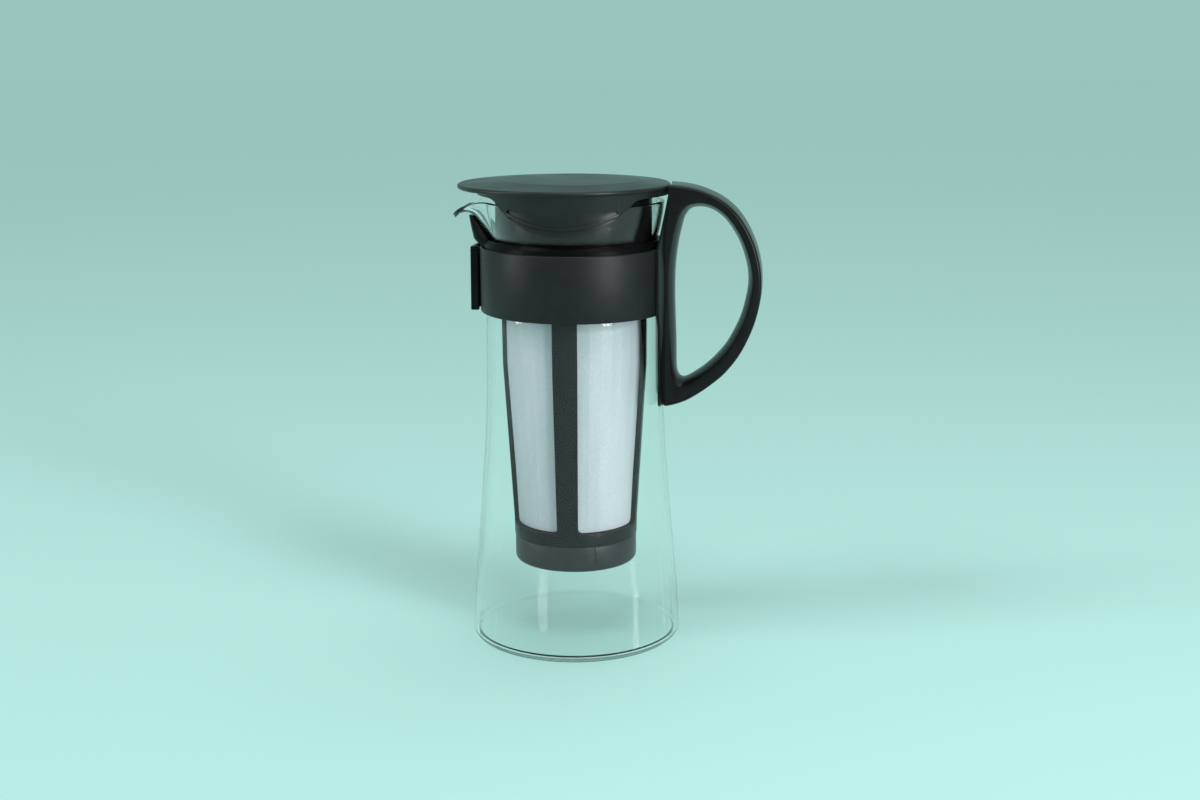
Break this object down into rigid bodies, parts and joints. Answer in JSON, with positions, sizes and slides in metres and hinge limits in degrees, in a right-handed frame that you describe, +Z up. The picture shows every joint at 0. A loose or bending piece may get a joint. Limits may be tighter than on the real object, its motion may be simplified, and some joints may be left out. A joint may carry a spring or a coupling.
{
  "type": "cold brew coffee maker",
  "caption": "Clear glass coffee jug with a black clamp band and loop handle, a round lid with finger flaps, and a mesh strainer that lifts out.",
  "frame": {"origin": "centre of the jug's flat underside, on the table", "axes": "+Z up along the jug's axis, +X towards the handle, the spout at -X, the two lid flaps at -Y and +Y"},
  "size_m": [0.1415, 0.098, 0.214],
  "materials": {
    "glass": "clear polished",
    "band": "black, fine satin texture",
    "clip": "black, gloss",
    "liner": "black, soft",
    "handle": "black, gloss",
    "lid": "black, satin",
    "frame": "black, satin",
    "mesh": "fine pale woven mesh, see-through",
    "cap": "black, satin"
  },
  "bodies": {
    "jug": {"carafe_glass": "glass", "band": "band", "band_clip": "clip", "band_liner": "liner", "handle": "handle"},
    "strainer": {"strainer_frame": "frame", "mesh_panel_rear_right": "mesh", "mesh_panel_rear_left": "mesh", "mesh_panel_front_left": "mesh", "mesh_panel_front_right": "mesh"},
    "lid": {"lid": "lid"},
    "cap": {"strainer_cap": "cap"}
  },
  "joints": [
    {"name": "strainer_lift", "type": "slide", "parent": "jug", "child": "strainer", "axis": [0, 0, 1], "range_m": [0, 0.19]},
    {"name": "lid_lift", "type": "slide", "parent": "strainer", "child": "lid", "axis": [0, 0, 1], "range_m": [0, 0.05]},
    {"name": "cap_turn", "type": "hinge", "parent": "strainer", "child": "cap", "pos_m": [0, 0, 0.043], "axis": [0, 0, 1], "range_deg": [0, 30]}
  ]
}
